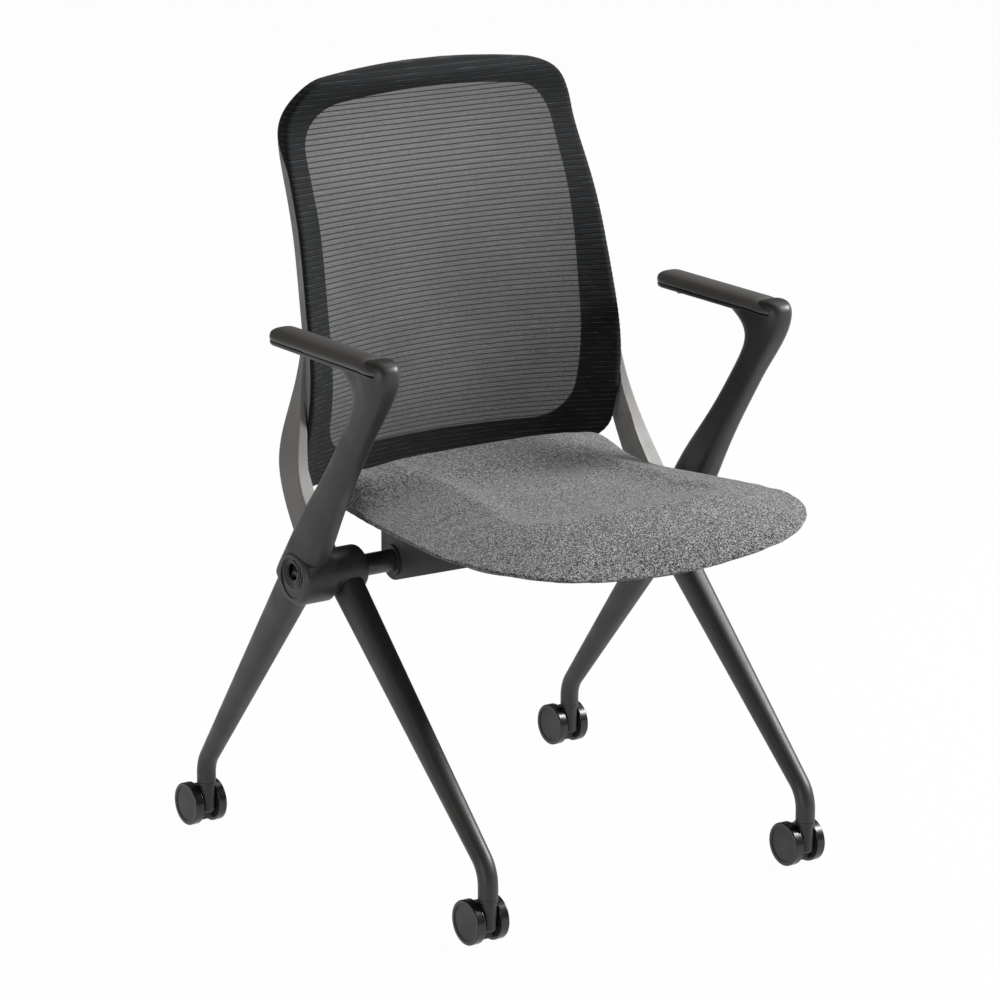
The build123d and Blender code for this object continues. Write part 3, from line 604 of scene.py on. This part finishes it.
for side in ("left", "right"):
    pad = domed_pad(side)
    dress(pad, MATERIALS["pad_plastic"])
    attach(pad, "frame")
    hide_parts(f"arm_pad_{side}")


# ---------------------------------------------------------------- mesh fabric
ROWS_PER_RIB = 8
MESH_COLUMNS = 72
RIB_HEIGHT = 0.0006
MESH_INSET = 0.0004  # the grid stays this far inside the CAD mesh at its sides
MESH_END_INSET = 0.0003
MESH_FORWARD = 0.0003  # and lies this far in front of it
SIDE_WRAP = 0.0055
TOP_WRAP = 0.018
FIRST_WRAP = 0.0010
TOP_FROM_Z = 0.84
TOP_RUN = 0.05
WRAP_RINGS = ((0.0007, 0.0), (0.0012, 0.3), (0.0014, 1.0))  # outwards, and share of the wrap
TANGENT_REACH = 3  # neighbours each way that give the rim's direction


def outline_half_widths(node, heights):
    """Half the mesh's width at each height, from its CAD outline."""
    points = coordinates(node.data)
    edges = node.data.edges
    widths = []
    for z in heights:
        best = 0.0
        for edge in edges:
            a, b = points[edge.vertices[0]], points[edge.vertices[1]]
            if (a[2] - z) * (b[2] - z) <= 0 and abs(a[2] - b[2]) > 1e-7:
                share = (z - a[2]) / (b[2] - a[2])
                best = max(best, a[0] + share * (b[0] - a[0]))
        widths.append(best)
    return widths


def ribbed_grid(work, node, low, high):
    """A fine grid over the front of the CAD mesh, raised at each cross rib."""
    tree = search_tree(node)
    rows = int((high.z - low.z) / RIB_PITCH * ROWS_PER_RIB)
    reach = high.z - low.z - 2 * MESH_END_INSET
    heights = [low.z + MESH_END_INSET + reach * i / rows for i in range(rows + 1)]
    grid = []
    for z, width in zip(heights, outline_half_widths(node, heights)):
        row = []
        rib = max(0.0, math.cos(2 * math.pi * z / RIB_PITCH)) ** 3
        for column in range(MESH_COLUMNS + 1):
            x = (width - MESH_INSET) * (2 * column / MESH_COLUMNS - 1)
            hit = tree.ray_cast(Vector((x, -1.0, z)), Vector((0, 1, 0)))[0]
            row.append(work.verts.new((x, hit.y - MESH_FORWARD - RIB_HEIGHT * rib, z)))
        grid.append(row)
    for lower, upper in zip(grid, grid[1:]):
        for column in range(MESH_COLUMNS):
            corners = (lower[column], lower[column + 1], upper[column + 1], upper[column])
            work.faces.new(corners)
    return grid


def outward_at(rim, index, centre_z):
    """The direction away from the mesh's middle, square to its rim."""
    before = rim[index - TANGENT_REACH].co
    after = rim[(index + TANGENT_REACH) % len(rim)].co
    along = Vector((after.x - before.x, 0, after.z - before.z)).normalized()
    outward = Vector((along.z, 0, -along.x))
    place = rim[index].co
    if outward.dot(Vector((place.x, 0, place.z - centre_z))) < 0:
        outward.negate()
    return outward


def wrapped_edge(work, rim, centre_z):
    """Rings of faces that carry the mesh round the carrier's edge, deeper over its top."""
    loops = [rim]
    for out, share in WRAP_RINGS:
        ring = []
        for index, vertex in enumerate(rim):
            wrap = SIDE_WRAP + (TOP_WRAP - SIDE_WRAP) * eased((vertex.co.z - TOP_FROM_Z) / TOP_RUN)
            back = Vector((0, FIRST_WRAP + (wrap - FIRST_WRAP) * share, 0))
            place = vertex.co + outward_at(rim, index, centre_z) * out + back
            ring.append(work.verts.new(place))
        loops.append(ring)
    for inner, outer in zip(loops, loops[1:]):
        for index in range(len(rim)):
            nearby = (index + 1) % len(rim)
            work.faces.new((inner[index], inner[nearby], outer[nearby], outer[index]))


def mesh_sheet():
    """The stretched mesh: a ribbed grid and an edge wrapped round the carrier."""
    node = nodes["back_mesh"]
    low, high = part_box("back_mesh")
    work = bmesh.new()
    grid = ribbed_grid(work, node, low, high)
    left = [row[0] for row in grid]
    right = [row[-1] for row in reversed(grid)]
    rim = left + grid[-1][1:-1] + right + grid[0][-2:0:-1]
    wrapped_edge(work, rim, (low.z + high.z) / 2)
    bmesh.ops.recalc_face_normals(work, faces=work.faces)
    mesh = bpy.data.meshes.new("mesh_fabric")
    work.to_mesh(mesh)
    work.free()
    piece = bpy.data.objects.new("mesh_fabric", mesh)
    scene.collection.objects.link(piece)
    return piece


mesh_fabric = mesh_sheet()
soft_shading(mesh_fabric)
dress(mesh_fabric, stretched_mesh())
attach(mesh_fabric, "frame")
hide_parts("back_mesh")


# ---------------------------------------------------------------- stage
FLOOR_SIZE = 40.0
FLOOR_Z = -0.0005
FLOOR_GREY = (0.42, 0.42, 0.42, 1.0)
FLOOR_GLOW = 1.01
FLOOR_GLOW_SHARE = 0.97
AMBIENT = 0.15
BACKDROP = 1.03
CAMERA_PLACE = (-2.9097, -4.0817, 1.7723)
CAMERA_BACK = (-0.5570, -0.7901, 0.2558)
CAMERA_LENS = 151.8
CAMERA_SENSOR = 36.0


def pale_floor():
    """A pale floor that the camera sees as white and that bounces a soft light."""
    bpy.ops.mesh.primitive_plane_add(size=FLOOR_SIZE, location=(0, 0, FLOOR_Z))
    floor = bpy.context.object
    floor.name = "studio_floor"
    look = Look("pale_floor")
    paths = look.add("ShaderNodeLightPath").outputs
    seen = look.maths("MAXIMUM", paths["Is Camera Ray"], paths["Is Glossy Ray"])
    seen = look.maths("MAXIMUM", seen, paths["Is Transmission Ray"])
    glow = look.add("ShaderNodeEmission")
    glow.inputs["Strength"].default_value = FLOOR_GLOW
    look.finish(FLOOR_GREY, 0.9)
    share = look.times(seen, FLOOR_GLOW_SHARE)
    look.shown_through(share, look.bsdf.outputs[0], glow.outputs[0])
    dress(floor, look.material)


def studio_world():
    """A white backdrop for the camera and a dim, even light for everything else."""
    world = bpy.data.worlds.new("studio")
    scene.world = world
    world.use_nodes = True
    tree = world.node_tree
    background = tree.nodes["Background"]
    paths = tree.nodes.new("ShaderNodeLightPath")
    most = tree.nodes.new("ShaderNodeMath")
    most.operation = "MAXIMUM"
    tree.links.new(paths.outputs["Is Camera Ray"], most.inputs[0])
    tree.links.new(paths.outputs["Is Transmission Ray"], most.inputs[1])
    level = tree.nodes.new("ShaderNodeMapRange")
    tree.links.new(most.outputs[0], level.inputs["Value"])
    level.inputs["To Min"].default_value = AMBIENT
    level.inputs["To Max"].default_value = BACKDROP
    tree.links.new(level.outputs[0], background.inputs["Strength"])
    background.inputs["Color"].default_value = (1, 1, 1, 1)


def area_light(name, place, target_z, size, power):
    """A square lamp aimed at a height on the chair's middle line."""
    data = bpy.data.lights.new(name, "AREA")
    data.shape = "RECTANGLE"
    data.size = size
    data.size_y = size
    data.energy = power
    light = bpy.data.objects.new(name, data)
    scene.collection.objects.link(light)
    light.location = place
    direction = Vector((0, 0, target_z)) - Vector(place)
    light.rotation_euler = direction.to_track_quat("-Z", "Y").to_euler()


def camera():
    """The camera fitted to the photo."""
    data = bpy.data.cameras.new("camera")
    data.sensor_width = CAMERA_SENSOR
    data.lens = CAMERA_LENS
    data.clip_end = 200.0
    obj = bpy.data.objects.new("camera", data)
    scene.collection.objects.link(obj)
    obj.location = CAMERA_PLACE
    obj.rotation_euler = Vector(CAMERA_BACK).to_track_quat("Z", "Y").to_euler()
    scene.camera = obj


scene.view_settings.view_transform = "Standard"
pale_floor()
studio_world()
area_light("key", (3.1, -1.5, 2.5), 0.45, 1.2, 235.0)
area_light("top", (1.4, 0.3, 3.0), 0.40, 1.4, 12.0)
area_light("fill", (-3.4, -1.2, 0.75), 0.50, 1.2, 27.0)
camera()
